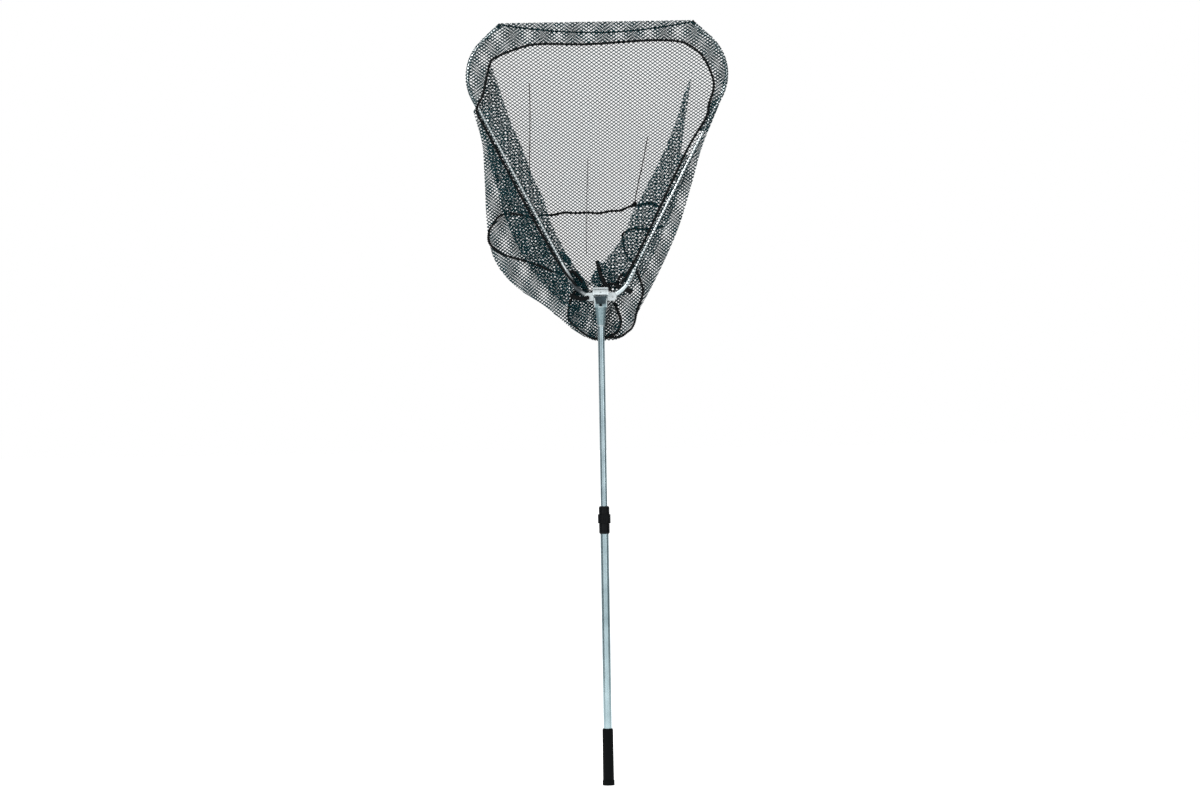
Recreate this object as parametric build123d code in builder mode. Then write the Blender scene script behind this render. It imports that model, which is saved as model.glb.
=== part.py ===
from build123d import *

import os

# A folding landing net. The origin is the centre of the butt's end face, on the handle's axis.
# +Z runs up the handle, the mouth of the net faces -Y and the bag hangs on the +Y side.
# Millimetres throughout.

# Handle
LOWER_R, LOWER_BORE_R = 10.0, 8.8
LOWER_FOOT, LOWER_TOP = 6.0, 604.0
UPPER_R, UPPER_BORE_R = 8.0, 7.0
UPPER_FOOT, UPPER_TOP = 560.0, 1100.0
FITTED_GAP = 0.05  # between pieces that are glued or pressed together, and round sliding fits
CAP_R, CAP_TOP = 14.25, 12.0
GRIP_R_LOW, GRIP_R_HIGH, GRIP_TOP = 13.1, 12.75, 134.0
BUSH_FLANGE, BUSH_PLUG = 7.0, 14.0

# Twist lock
HOUSING_R, HOUSING_FOOT, RING_FOOT = 12.5, 592.0, 617.0
SPIGOT_R, SPIGOT_TOP = 10.4, 630.0
RING_R, RING_TOP, COLLAR_TOP = 15.0, 638.0, 657.0
COLLAR_CUP_R, COLLAR_CUP_TOP, COLLAR_BORE_R = 10.8, 637.0, 8.3
COLLET_TOP, COLLET_SLIT = 636.5, 1.6
RING_NOTCHES, NOTCH_R, NOTCH_OUT = 18, 1.3, 0.6

# Yoke neck and the hinge that the head folds on
NECK_FOOT, NECK_WAIST, NECK_SHOULDER, NECK_TOP = 1080.0, 1103.0, 1125.0, 1147.0
NECK_FOOT_R, NECK_WAIST_R, NECK_CONE_R, NECK_HALF = 9.0, 11.0, 14.2, 16.0
NECK_FRONT, NECK_BACK = -12.4, 9.0
CRADLE_BACK, CRADLE_FOOT, CRADLE_TOP = -4.5, 1130.0, 1155.0
HINGE_Y, HINGE_Z = -11.5, 1160.0
KNUCKLE_R, KNUCKLE_HALF, HINGE_PIN_R, SCREW_R = 8.0, 13.0, 2.5, 2.05
RIVET_R, RIVET_HALF, RIVET_Z = 1.5, 10.4, 1092.0

# Lock button
BUTTON_LOW, BUTTON_HIGH = 1133.0, 1151.0
BUTTON_HALF_LOW, BUTTON_HALF_HIGH = 10.5, 14.75
BUTTON_FACE, BUTTON_BACK = -18.5, -13.0
BOLT_HALF, BOLT_Y_LOW, BOLT_Y_HIGH = 3.0, 0.0, 5.0
ARM_LOW, ARM_HIGH, SLOT_FOOT = 1138.0, 1142.0, 1127.3
SPRING_R, SPRING_WIRE_R, SPRING_TURNS = 2.0, 0.35, 6

# Head block
PIVOT_X, PIVOT_Z, PIVOT_PIN_R = 28.0, 1150.0, 2.5
CHEEK_IN, CHEEK_OUT = 13.4, 18.4
WALL_IN, WALL_LOW, WALL_HIGH = 16.4, 1141.0, 1168.0
EAR_HALF_Y, SLOT_HALF_Y, EAR_R = 7.0, 4.4, 9.5
PLATE_Y, PLATE_LOW, PLATE_HIGH = -2.5, 1148.0, 1172.0

# Arms: the line of the right one from its pivot, through two bends, to its tip, as (x, z)
ARM_LINE = [(PIVOT_X, PIVOT_Z), (59.0, 1171.2), (331.2, 1695.9), (226.0, 1794.0)]
ELBOW_R, SHOULDER_R = 60.0, 113.0
ROD_R, SOCKET_R, SOCKET_END = 3.25, 5.2, (81.0, 1213.6)
ROOT_START, ROD_START = 10.6, 14.0
SLEEVE_OUT, SLEEVE_IN, SLEEVE_START = 4.9, 3.9, 61.7
CAP_LENGTH, TIP_CAP_R = 12.0, 4.4

# Bag: the pouch's outline and the mouth, as (x, z) seen from the front
BAG_OUTLINE = [
    (-279, 1751), (-335, 1698), (-272, 1520), (-264, 1300), (-222, 1195), (-30, 1048),
    (58, 1052), (128, 1190), (205, 1370), (262, 1540), (335, 1698), (279, 1751),
]
BAG_RADII = [5, 90, 120, 90, 60, 45, 40, 150, 200, 60, 90, 5]
MOUTH = [(-84, 1219.4), (84, 1219.4), (331.2, 1695.9), (276.5, 1747), (-276.5, 1747), (-331.2, 1695.9)]
MOUTH_RADII = [8, 8, 92, 5, 5, 92]
BAG_FRONT, BAG_BACK, BAG_WALL, BAG_EDGE_R = 17.0, 95.0, 1.2, 12.0
COLLAR_FRONT = 5.8

# Hem, cord and seams
HEM_HALF, HEM_LOW, HEM_HIGH, HEM_HALF_Y, HEM_WALL = 214.0, 1750.0, 1797.0, 5.0, 1.0
CORD_R, CORD_END, CORD_MID = 1.5, (219.0, 1792.0), (0.0, 1772.0)
SEAM_R, HEM_SEAM_Y, BACK_SEAM_Y = 2.0, -8.0, 91.4
HEM_SEAM = [
    (-90, 1218), (-142, 1310), (-200, 1430), (-285, 1590), (-264, 1658), (-250, 1708), (-205, 1730),
    (-141, 1747), (-26, 1744), (125, 1750), (204, 1742), (250, 1709), (273, 1637), (254, 1565),
    (200, 1478), (118, 1302), (74, 1218),
]
WAIST_SEAM = [
    (-85, 1209), (-150, 1227), (-236, 1256), (-245, 1300), (-215, 1349), (-142, 1344), (-71, 1353),
    (15, 1350), (84, 1367), (128, 1367), (148, 1345),
]
BOTTOM_SEAM = [
    (-66, 1153), (-76, 1120), (-60, 1088), (-18, 1065), (52, 1068), (72, 1105), (92, 1150), (87, 1209),
]


def save(piece, name):
    """Labels one finished sub-part and writes it under its node's name."""
    piece.part.label = name
    export_step(piece.part, f"parts/{name}.step")


def on_line(start, end, distance):
    """The point that far from start towards end, as (x, z)."""
    run = Vector(*end) - Vector(*start)
    point = Vector(*start) + run.normalized() * distance
    return point.X, point.Y


def across(line):
    """The plane square to a line at its start."""
    return Plane(origin=line @ 0, z_dir=line % 0)


os.makedirs("parts", exist_ok=True)

# ---------------------------------------------------------------- handle, lower section
with BuildPart() as lower_tube:
    with BuildSketch(Plane.XY.offset(LOWER_FOOT)):
        Circle(LOWER_R)
        Circle(LOWER_BORE_R, mode=Mode.SUBTRACT)
    extrude(amount=LOWER_TOP - LOWER_FOOT)
save(lower_tube, "lower_tube")

with BuildPart() as butt_cap:
    with BuildSketch():
        Circle(CAP_R)
    extrude(amount=CAP_TOP)
    with BuildSketch(Plane.XY.offset(LOWER_FOOT)):
        Circle(LOWER_R + FITTED_GAP)
    extrude(amount=CAP_TOP, mode=Mode.SUBTRACT)
    chamfer(butt_cap.edges().group_by(Axis.Z)[0], 0.8)
save(butt_cap, "butt_cap")

with BuildPart() as grip:
    with BuildSketch(Plane.XZ):
        with BuildLine():
            Polyline(
                (LOWER_R + FITTED_GAP, CAP_TOP), (GRIP_R_LOW, CAP_TOP), (GRIP_R_HIGH, GRIP_TOP - 3),
                (GRIP_R_HIGH - 1.2, GRIP_TOP), (LOWER_R + FITTED_GAP, GRIP_TOP), close=True,
            )
        make_face()
    revolve(axis=Axis.Z)
save(grip, "grip")

# ---------------------------------------------------------------- twist lock
with BuildPart() as lock_housing:
    with BuildSketch(Plane.XZ):
        with BuildLine():
            Polyline(
                (LOWER_R + FITTED_GAP, HOUSING_FOOT), (HOUSING_R - 1.4, HOUSING_FOOT),
                (HOUSING_R, HOUSING_FOOT + 3), (HOUSING_R, RING_FOOT - 0.5),
                (SPIGOT_R, RING_FOOT - 0.5), (SPIGOT_R, SPIGOT_TOP), (COLLAR_BORE_R, SPIGOT_TOP),
                (COLLAR_BORE_R, LOWER_TOP), (LOWER_R + FITTED_GAP, LOWER_TOP), close=True,
            )
        make_face()
    revolve(axis=Axis.Z)
save(lock_housing, "lock_housing")

with BuildPart() as collet:
    with BuildSketch(Plane.XY.offset(SPIGOT_TOP)):
        Circle(SPIGOT_R)
        Circle(UPPER_R + FITTED_GAP, mode=Mode.SUBTRACT)
        with Locations((SPIGOT_R, 0)):
            Rectangle(SPIGOT_R, COLLET_SLIT, mode=Mode.SUBTRACT)
    extrude(amount=COLLET_TOP - SPIGOT_TOP)
save(collet, "collet")

with BuildPart() as lock_collar:
    with BuildSketch(Plane.XZ):
        with BuildLine():
            Polyline(
                (COLLAR_CUP_R, RING_FOOT), (RING_R, RING_FOOT), (RING_R, RING_TOP),
                (HOUSING_R, RING_TOP), (HOUSING_R, COLLAR_TOP - 3), (HOUSING_R - 1.8, COLLAR_TOP),
                (COLLAR_BORE_R, COLLAR_TOP), (COLLAR_BORE_R, COLLAR_CUP_TOP),
                (COLLAR_CUP_R, COLLAR_CUP_TOP), close=True,
            )
        make_face()
    revolve(axis=Axis.Z)
    with BuildSketch(Plane.XY.offset(RING_FOOT)):
        with PolarLocations(RING_R + NOTCH_OUT, RING_NOTCHES):
            Circle(NOTCH_R)
    extrude(amount=RING_TOP - RING_FOOT, mode=Mode.SUBTRACT)
save(lock_collar, "lock_collar")

# ---------------------------------------------------------------- handle, upper section
with BuildPart() as upper_tube:
    with BuildSketch(Plane.XY.offset(UPPER_FOOT)):
        Circle(UPPER_R)
        Circle(UPPER_BORE_R, mode=Mode.SUBTRACT)
    extrude(amount=UPPER_TOP - UPPER_FOOT)
    with BuildSketch(Plane.YZ):
        with Locations((0, RIVET_Z)):
            Circle(RIVET_R + 0.1)
    extrude(amount=20, both=True, mode=Mode.SUBTRACT)
save(upper_tube, "upper_tube")

with BuildPart() as slide_bush:
    with BuildSketch(Plane.XY.offset(UPPER_FOOT - BUSH_FLANGE)):
        Circle(LOWER_BORE_R - FITTED_GAP)
    extrude(amount=BUSH_FLANGE)
    with BuildSketch(Plane.XY.offset(UPPER_FOOT)):
        Circle(UPPER_BORE_R - FITTED_GAP)
    extrude(amount=BUSH_PLUG)
save(slide_bush, "slide_bush")

with BuildPart() as yoke_neck:
    with BuildSketch(Plane.XZ):
        with BuildLine():
            Polyline(
                (0, NECK_FOOT), (NECK_FOOT_R, NECK_FOOT), (NECK_WAIST_R, NECK_WAIST), (NECK_CONE_R, NECK_SHOULDER),
                (NECK_CONE_R, NECK_SHOULDER + 2), (0, NECK_SHOULDER + 2), close=True,
            )
        make_face()
    revolve(axis=Axis.Z)
    with BuildSketch(Plane.XY.offset(NECK_SHOULDER)):
        with Locations((0, (NECK_FRONT + NECK_BACK) / 2)):
            RectangleRounded(2 * NECK_HALF, NECK_BACK - NECK_FRONT, 3)
    extrude(amount=NECK_TOP - NECK_SHOULDER)
    with BuildSketch(Plane.XY.offset(CRADLE_FOOT)):
        with Locations((0, (NECK_FRONT + CRADLE_BACK) / 2)):
            Rectangle(2 * KNUCKLE_HALF, CRADLE_BACK - NECK_FRONT)
    extrude(amount=CRADLE_TOP - CRADLE_FOOT)
    # slot for the button's bolt, with the seat of its spring at the bottom
    with BuildSketch(Plane.XZ.offset(20)):
        with Locations((0, (SLOT_FOOT + NECK_TOP + 0.5) / 2)):
            Rectangle(2 * BOLT_HALF + 0.8, NECK_TOP + 0.5 - SLOT_FOOT)
    extrude(amount=-(20 + BOLT_Y_HIGH + 0.4), mode=Mode.SUBTRACT)
    # seat of the hinge knuckle
    with BuildSketch(Plane.YZ.offset(-KNUCKLE_HALF - 4)):
        with Locations((HINGE_Y, HINGE_Z)):
            Circle(KNUCKLE_R + FITTED_GAP)
    extrude(amount=2 * KNUCKLE_HALF + 8, mode=Mode.SUBTRACT)
    # socket for the upper tube
    with BuildSketch(Plane.XY.offset(NECK_FOOT)):
        Circle(UPPER_R + FITTED_GAP)
    extrude(amount=UPPER_TOP - NECK_FOOT, mode=Mode.SUBTRACT)
    with BuildSketch(Plane.YZ):
        with Locations((0, RIVET_Z)):
            Circle(RIVET_R + 0.1)
    extrude(amount=20, both=True, mode=Mode.SUBTRACT)
save(yoke_neck, "yoke_neck")

with BuildPart() as hinge_knuckle:
    with BuildSketch(Plane.YZ.offset(-KNUCKLE_HALF)):
        with Locations((HINGE_Y, HINGE_Z)):
            Circle(KNUCKLE_R)
            Circle(HINGE_PIN_R + 0.02, mode=Mode.SUBTRACT)
    extrude(amount=2 * KNUCKLE_HALF)
    with BuildSketch(Plane.XZ.offset(-HINGE_Y)):
        with Locations((0, HINGE_Z)):
            Circle(SCREW_R + FITTED_GAP)
    extrude(amount=20, mode=Mode.SUBTRACT)
save(hinge_knuckle, "hinge_knuckle")

with BuildPart() as knuckle_screw:
    with BuildSketch(Plane.XZ.offset(-HINGE_Y + HINGE_PIN_R + 0.4)):
        with Locations((0, HINGE_Z)):
            Circle(SCREW_R)
    extrude(amount=KNUCKLE_R - HINGE_PIN_R - 0.6)
save(knuckle_screw, "knuckle_screw")

with BuildPart() as hinge_pin:
    with BuildSketch(Plane.YZ.offset(-CHEEK_OUT + 1)):
        with Locations((HINGE_Y, HINGE_Z)):
            Circle(HINGE_PIN_R)
    extrude(amount=2 * (CHEEK_OUT - 1))
save(hinge_pin, "hinge_pin")

with BuildPart() as tube_rivet:
    with BuildSketch(Plane.YZ):
        with Locations((0, RIVET_Z)):
            Circle(RIVET_R)
    extrude(amount=RIVET_HALF, both=True)
save(tube_rivet, "tube_rivet")

with BuildPart() as button_spring:
    spring_foot = SLOT_FOOT + SPRING_WIRE_R + 0.1
    spring_rise = ARM_LOW - SPRING_WIRE_R - 0.1 - spring_foot
    with BuildLine() as coil:
        Helix(pitch=spring_rise / SPRING_TURNS, height=spring_rise, radius=SPRING_R,
              center=(0, (BOLT_Y_LOW + BOLT_Y_HIGH) / 2, spring_foot))
    with BuildSketch(across(coil.line)):
        Circle(SPRING_WIRE_R)
    sweep(path=coil.line, is_frenet=True)
save(button_spring, "button_spring")

with BuildPart() as lock_button:
    with BuildSketch(Plane.XZ.offset(-BUTTON_BACK)):
        with BuildLine():
            Polyline(
                (-BUTTON_HALF_LOW, BUTTON_LOW), (BUTTON_HALF_LOW, BUTTON_LOW),
                (BUTTON_HALF_HIGH, BUTTON_HIGH), (-BUTTON_HALF_HIGH, BUTTON_HIGH), close=True,
            )
        make_face()
    extrude(amount=BUTTON_BACK - BUTTON_FACE)
    fillet(lock_button.faces().sort_by(Axis.Y)[0].edges(), 1.2)
    with BuildSketch(Plane.XZ.offset(-BUTTON_BACK)):
        with Locations((0, (ARM_LOW + ARM_HIGH) / 2)):
            Rectangle(2 * BOLT_HALF, ARM_HIGH - ARM_LOW)
    extrude(amount=-(BOLT_Y_HIGH - BUTTON_BACK))
    with BuildSketch(Plane.XY.offset(ARM_LOW)):
        with Locations((0, (BOLT_Y_LOW + BOLT_Y_HIGH) / 2)):
            Rectangle(2 * BOLT_HALF, BOLT_Y_HIGH - BOLT_Y_LOW)
    extrude(amount=NECK_TOP - ARM_LOW)
save(lock_button, "lock_button")

# ---------------------------------------------------------------- head block
with BuildPart() as head_block:
    with BuildSketch(Plane.XZ.offset(-PLATE_Y)):
        with Locations((0, (PLATE_LOW + PLATE_HIGH) / 2)):
            RectangleRounded(2 * CHEEK_OUT, PLATE_HIGH - PLATE_LOW, 3)
    extrude(amount=-(NECK_BACK - PLATE_Y))
    for side in (-1, 1):
        with BuildSketch(Plane.YZ.offset(side * CHEEK_IN)):
            with Locations((HINGE_Y, HINGE_Z)):
                Circle(KNUCKLE_R)
            with Locations(((HINGE_Y + NECK_BACK) / 2, HINGE_Z)):
                Rectangle(NECK_BACK - HINGE_Y, 2 * KNUCKLE_R)
        extrude(amount=side * (CHEEK_OUT - CHEEK_IN))
        with BuildSketch(Plane.YZ.offset(side * WALL_IN)):
            with Locations(((NECK_BACK - EAR_HALF_Y) / 2, (WALL_LOW + WALL_HIGH) / 2)):
                Rectangle(NECK_BACK + EAR_HALF_Y, WALL_HIGH - WALL_LOW)
        extrude(amount=side * (CHEEK_OUT - WALL_IN))
        with BuildSketch(Plane.XZ):
            with Locations((side * PIVOT_X, PIVOT_Z)):
                Circle(EAR_R)
            with Locations((side * (CHEEK_OUT + PIVOT_X) / 2, PIVOT_Z)):
                Rectangle(PIVOT_X - CHEEK_OUT, 2 * EAR_R)
        extrude(amount=EAR_HALF_Y, both=True)
        with BuildSketch(Plane.XZ):
            with Locations((side * (CHEEK_OUT + 15), PIVOT_Z)):
                Rectangle(30, 60)
        extrude(amount=SLOT_HALF_Y, both=True, mode=Mode.SUBTRACT)
    with BuildSketch(Plane.XZ):
        with Locations((-PIVOT_X, PIVOT_Z), (PIVOT_X, PIVOT_Z)):
            Circle(PIVOT_PIN_R + 0.02)
    extrude(amount=20, both=True, mode=Mode.SUBTRACT)
    with BuildSketch(Plane.YZ):
        with Locations((HINGE_Y, HINGE_Z)):
            Circle(HINGE_PIN_R + FITTED_GAP)
    extrude(amount=40, both=True, mode=Mode.SUBTRACT)
save(head_block, "head_block")

with BuildPart() as arm_pivot_pins:
    with BuildSketch(Plane.XZ):
        with Locations((-PIVOT_X, PIVOT_Z), (PIVOT_X, PIVOT_Z)):
            Circle(PIVOT_PIN_R)
    extrude(amount=EAR_HALF_Y + 0.8, both=True)
save(arm_pivot_pins, "arm_pivot_pins")

# ---------------------------------------------------------------- arms
for side, word in ((-1, "left"), (1, "right")):
    pivot, elbow, shoulder, tip = [(side * x, z) for x, z in ARM_LINE]
    socket_end = (side * SOCKET_END[0], SOCKET_END[1])
    sleeve_foot = on_line(elbow, shoulder, SLEEVE_START)

    with BuildPart() as arm_socket:
        with BuildSketch(Plane.XZ):
            with Locations(pivot):
                Circle(KNUCKLE_R)
            with BuildLine():
                Line(pivot, on_line(pivot, elbow, ROOT_START + 1.5))
            trace(line_width=2 * SOCKET_R - 1.2)
        extrude(amount=SLOT_HALF_Y - 0.4, both=True)
        with BuildLine(Plane.XZ) as root:
            FilletPolyline(on_line(pivot, elbow, ROOT_START), elbow, socket_end, radius=ELBOW_R)
        with BuildSketch(across(root.line)):
            Circle(SOCKET_R)
        sweep(path=root.line)
        with BuildLine(Plane.XZ) as bore:
            FilletPolyline(
                on_line(pivot, elbow, ROD_START), elbow, on_line(elbow, shoulder, 60), radius=ELBOW_R
            )
        with BuildSketch(across(bore.line)):
            Circle(ROD_R + FITTED_GAP)
        sweep(path=bore.line, mode=Mode.SUBTRACT)
        with BuildSketch(Plane.XZ):
            with Locations(pivot):
                Circle(PIVOT_PIN_R + FITTED_GAP)
        extrude(amount=20, both=True, mode=Mode.SUBTRACT)
    save(arm_socket, f"{word}_arm_socket")

    with BuildPart() as arm_rod:
        with BuildLine(Plane.XZ) as line:
            FilletPolyline(
                on_line(pivot, elbow, ROD_START + 0.4), elbow, shoulder, on_line(tip, shoulder, 2),
                radius=[ELBOW_R, SHOULDER_R],
            )
        with BuildSketch(across(line.line)):
            Circle(ROD_R)
        sweep(path=line.line)
    save(arm_rod, f"{word}_arm_rod")

    with BuildPart() as tip_cap:
        cap_plane = Plane(
            origin=(tip[0], 0, tip[1]),
            z_dir=Vector(shoulder[0] - tip[0], 0, shoulder[1] - tip[1]),
        )
        with BuildSketch(cap_plane.offset(-1.5)):
            Circle(TIP_CAP_R)
        extrude(amount=CAP_LENGTH)
        with BuildSketch(cap_plane.offset(2)):
            Circle(ROD_R + FITTED_GAP)
        extrude(amount=CAP_LENGTH, mode=Mode.SUBTRACT)
        chamfer(tip_cap.faces().sort_by(Axis.X if side > 0 else Axis.X.reverse())[0].edges(), 1.0)
    save(tip_cap, f"{word}_tip_cap")

    with BuildPart() as hem_sleeve:
        with BuildLine(Plane.XZ) as line:
            FilletPolyline(sleeve_foot, shoulder, on_line(tip, shoulder, CAP_LENGTH), radius=SHOULDER_R)
        with BuildSketch(across(line.line)):
            Circle(SLEEVE_OUT)
            Circle(SLEEVE_IN, mode=Mode.SUBTRACT)
        sweep(path=line.line)
    save(hem_sleeve, f"{word}_hem_sleeve")

# ---------------------------------------------------------------- bag, hem and cords
with BuildPart() as net_bag:
    with BuildSketch(Plane.XZ.offset(-BAG_FRONT)):
        with BuildLine():
            FilletPolyline(*BAG_OUTLINE, radius=BAG_RADII, close=True)
        make_face()
    extrude(amount=-(BAG_BACK - BAG_FRONT))
    fillet(net_bag.faces().sort_by(Axis.Y)[-1].edges(), BAG_EDGE_R)
    offset(amount=-BAG_WALL, openings=net_bag.faces().sort_by(Axis.Y)[0])
    with BuildSketch(Plane.XZ.offset(-BAG_FRONT)):
        with BuildLine():
            FilletPolyline(*BAG_OUTLINE, radius=BAG_RADII, close=True)
        make_face()
        with BuildLine():
            FilletPolyline(*MOUTH, radius=MOUTH_RADII, close=True)
        make_face(mode=Mode.SUBTRACT)
    extrude(amount=-BAG_WALL)
    with BuildSketch(Plane.XZ.offset(-COLLAR_FRONT)):
        with BuildLine():
            FilletPolyline(*MOUTH, radius=MOUTH_RADII, close=True)
        make_face()
        offset(amount=BAG_WALL, mode=Mode.ADD)
        with BuildLine():
            FilletPolyline(*MOUTH, radius=MOUTH_RADII, close=True)
        make_face(mode=Mode.SUBTRACT)
    extrude(amount=-(BAG_FRONT + BAG_WALL - COLLAR_FRONT))
save(net_bag, "net_bag")

with BuildPart() as top_hem:
    with BuildSketch(Plane.YZ.offset(-HEM_HALF)):
        with Locations((0, (HEM_LOW + HEM_HIGH) / 2)):
            RectangleRounded(2 * HEM_HALF_Y, HEM_HIGH - HEM_LOW, HEM_HALF_Y - 0.5)
            RectangleRounded(
                2 * (HEM_HALF_Y - HEM_WALL), HEM_HIGH - HEM_LOW - 2 * HEM_WALL,
                HEM_HALF_Y - HEM_WALL - 0.5, mode=Mode.SUBTRACT,
            )
    extrude(amount=2 * HEM_HALF)
save(top_hem, "top_hem")

with BuildPart() as front_cord:
    with BuildLine(Plane.XZ) as line:
        ThreePointArc((-CORD_END[0], CORD_END[1]), CORD_MID, CORD_END)
    with BuildSketch(across(line.line)):
        Circle(CORD_R)
    sweep(path=line.line)
save(front_cord, "front_cord")

SEAMS = {
    "hem_seam": (HEM_SEAM, HEM_SEAM_Y, 12.0),
    "waist_seam": (WAIST_SEAM, BACK_SEAM_Y, 14.0),
    "bottom_seam": (BOTTOM_SEAM, BACK_SEAM_Y, 14.0),
}
for name, (route, depth, bend) in SEAMS.items():
    with BuildPart() as seam:
        with BuildLine(Plane.XZ.offset(-depth)) as line:
            FilletPolyline(*route, radius=bend)
        with BuildSketch(across(line.line)):
            Circle(SEAM_R)
        sweep(path=line.line)
    save(seam, name)
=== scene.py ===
from math import cos, pi, radians, sin

import bpy
import numpy as np
from mathutils import Matrix, Vector


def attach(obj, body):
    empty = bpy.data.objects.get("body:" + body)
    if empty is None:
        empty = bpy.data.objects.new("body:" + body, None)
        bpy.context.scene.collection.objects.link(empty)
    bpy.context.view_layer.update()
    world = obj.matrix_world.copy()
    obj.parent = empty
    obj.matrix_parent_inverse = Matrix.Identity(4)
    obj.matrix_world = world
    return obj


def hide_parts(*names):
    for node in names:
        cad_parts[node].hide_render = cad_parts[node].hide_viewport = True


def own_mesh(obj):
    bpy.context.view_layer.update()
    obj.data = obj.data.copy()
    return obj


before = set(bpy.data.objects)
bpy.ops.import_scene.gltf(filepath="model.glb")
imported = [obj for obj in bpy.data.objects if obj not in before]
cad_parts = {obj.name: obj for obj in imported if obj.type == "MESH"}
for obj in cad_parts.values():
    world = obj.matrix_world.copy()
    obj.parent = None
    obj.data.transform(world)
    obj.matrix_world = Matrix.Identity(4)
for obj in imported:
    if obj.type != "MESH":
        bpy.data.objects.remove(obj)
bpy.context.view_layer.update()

# A folding landing net: telescopic handle, die-cast yoke, two hinged arms and a mesh bag. The
# script gives the machined and moulded pieces of the frame their materials, and makes the netting,
# its hem, the seam cords, the straps and the tip cord. The scene is in metres. Plan points are
# (x, z) in millimetres, seen from the front, and depths are y in millimetres.

MM = 0.001


# ---------------------------------------------------------------- scene: camera, floor and light
CAMERA_SIDE, CAMERA_AWAY, CAMERA_HIGH = -0.0054, 9.0, 0.907
CAMERA_ROLL = radians(-0.95)  # the net leans a little to the left
FLOOR_HALF = 60.0
FLAG_OUT, FLAG_NEAR, FLAG_FAR, FLAG_LOW, FLAG_HIGH = 1.9, -1.5, 0.9, 0.05, 2.3


def aim(obj, place, target, roll=0.0):
    """Puts obj at place with its -Z towards target, turned by roll about that line."""
    look = (Vector(target) - Vector(place)).to_track_quat("-Z", "Y").to_matrix().to_4x4()
    obj.matrix_world = Matrix.Translation(place) @ look @ Matrix.Rotation(roll, 4, "Z")


def make_camera():
    """A long lens square to the net, level with the middle of its height."""
    data = bpy.data.cameras.new("camera")
    data.sensor_width = 36.0
    data.lens = 114.7
    camera = bpy.data.objects.new("camera", data)
    bpy.context.scene.collection.objects.link(camera)
    aim(camera, (CAMERA_SIDE, -CAMERA_AWAY, CAMERA_HIGH), (CAMERA_SIDE, 0.0, CAMERA_HIGH),
        CAMERA_ROLL)
    bpy.context.scene.camera = camera


def softbox(name, place, target, size, watts):
    """One rectangular studio lamp that faces target."""
    data = bpy.data.lights.new(name, "AREA")
    data.shape = "RECTANGLE"
    data.size, data.size_y = size
    data.energy = watts
    lamp = bpy.data.objects.new(name, data)
    bpy.context.scene.collection.objects.link(lamp)
    aim(lamp, place, target)


def linear(hexa):
    """An sRGB colour such as "1A1C1E" as linear red, green, blue and an alpha of one."""
    parts = [int(hexa[i:i + 2], 16) / 255 for i in (0, 2, 4)]
    return [c / 12.92 if c <= 0.04045 else ((c + 0.055) / 1.055) ** 2.4 for c in parts] + [1.0]


def add(tree, kind, settings=None, **inputs):
    """Adds one node. settings are its properties; inputs are socket values or links by name.

    An input name such as in_0 is the socket at that place in the list.
    """
    node = tree.nodes.new(kind)
    for key, value in (settings or {}).items():
        setattr(node, key, value)
    for key, value in inputs.items():
        spot = int(key[3:]) if key.startswith("in_") else key.replace("_", " ")
        socket = node.inputs[spot]
        if isinstance(value, bpy.types.NodeSocket):
            tree.links.new(value, socket)
        else:
            socket.default_value = value
    return node


def make_world():
    """A soft even dome for lighting; what the camera, metal and glass see of it is white."""
    world = bpy.data.worlds.new("studio")
    bpy.context.scene.world = world
    world.use_nodes = True
    tree = world.node_tree
    tree.nodes.clear()
    path = add(tree, "ShaderNodeLightPath")
    seen = add(tree, "ShaderNodeMath", {"operation": "MAXIMUM"},
               in_0=path.outputs["Is Camera Ray"], in_1=path.outputs["Is Glossy Ray"])
    seen = add(tree, "ShaderNodeMath", {"operation": "MAXIMUM"},
               in_0=seen.outputs[0], in_1=path.outputs["Is Transmission Ray"])
    dome = add(tree, "ShaderNodeBackground", Color=linear("E6EBEC"), Strength=0.42)
    white = add(tree, "ShaderNodeBackground", Color=(1, 1, 1, 1), Strength=1.0)
    both = add(tree, "ShaderNodeMixShader", in_0=seen.outputs[0],
               in_1=dome.outputs[0], in_2=white.outputs[0])
    add(tree, "ShaderNodeOutputWorld", Surface=both.outputs[0])


def make_floor():
    """A wide pale floor that is white to the camera and in reflections, like the world."""
    mesh = bpy.data.meshes.new("floor")
    corners = [(x * FLOOR_HALF, y * FLOOR_HALF, 0) for x, y in ((-1, -1), (1, -1), (1, 1), (-1, 1))]
    mesh.from_pydata(corners, [], [(0, 1, 2, 3)])
    floor = bpy.data.objects.new("floor", mesh)
    bpy.context.scene.collection.objects.link(floor)
    material = bpy.data.materials.new("pale studio floor")
    material.use_nodes = True
    tree = material.node_tree
    tree.nodes.clear()
    path = add(tree, "ShaderNodeLightPath")
    seen = add(tree, "ShaderNodeMath", {"operation": "MAXIMUM"},
               in_0=path.outputs["Is Camera Ray"], in_1=path.outputs["Is Glossy Ray"])
    paint = add(tree, "ShaderNodeBsdfDiffuse", Color=linear("F2F2F2"))
    glow = add(tree, "ShaderNodeEmission", Color=(1, 1, 1, 1), Strength=seen.outputs[0])
    both = add(tree, "ShaderNodeAddShader", in_0=paint.outputs[0], in_1=glow.outputs[0])
    add(tree, "ShaderNodeOutputMaterial", Surface=both.outputs[0])
    mesh.materials.append(material)


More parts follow.
